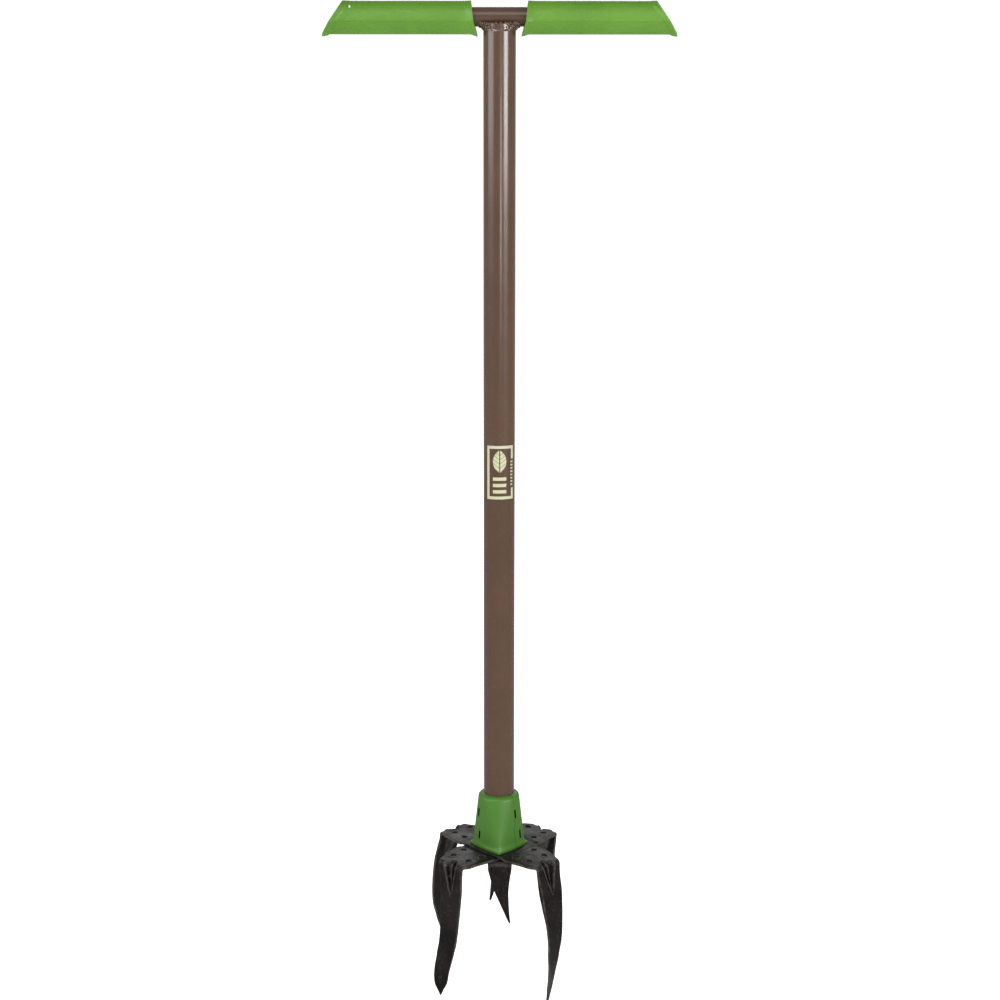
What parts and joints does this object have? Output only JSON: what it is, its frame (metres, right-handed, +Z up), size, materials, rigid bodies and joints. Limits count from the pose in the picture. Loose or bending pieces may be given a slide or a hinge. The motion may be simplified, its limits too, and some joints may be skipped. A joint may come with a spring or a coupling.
{
  "type": "twist tiller",
  "caption": "Stand-up twist tiller: T-handle with moulded grips, long tube shaft, clip-on collar, and a stamped head with long twisted tines round short centre spikes.",
  "frame": {"origin": "centre of the tool's footprint on the ground the tine tips stand on, on the shaft's axis", "axes": "+Z up the shaft, X along the T-handle, -Y towards the side that carries the label"},
  "size_m": [0.3462, 0.136, 1.0239],
  "materials": {
    "brown_paint": "satin powder coat over steel tube",
    "green_plastic": "fine moulded grain, satin",
    "collar_plastic": "smooth moulded, satin",
    "black_paint": "satin black over stamped steel, slightly scuffed",
    "label_film": "thin printed film, satin"
  },
  "bodies": {
    "root": {"shaft_tube": "brown_paint", "crossbar_tube": "brown_paint", "handle_weld": "brown_paint", "foot_weld": "brown_paint", "left_grip_upper": "green_plastic", "left_grip_lower": "green_plastic", "right_grip_upper": "green_plastic", "right_grip_lower": "green_plastic", "collar_front": "collar_plastic", "collar_rear": "collar_plastic", "upper_tine_plate": "black_paint", "lower_tine_plate": "black_paint", "spike_plate": "black_paint", "shaft_label": "label_film"}
  },
  "joints": []
}
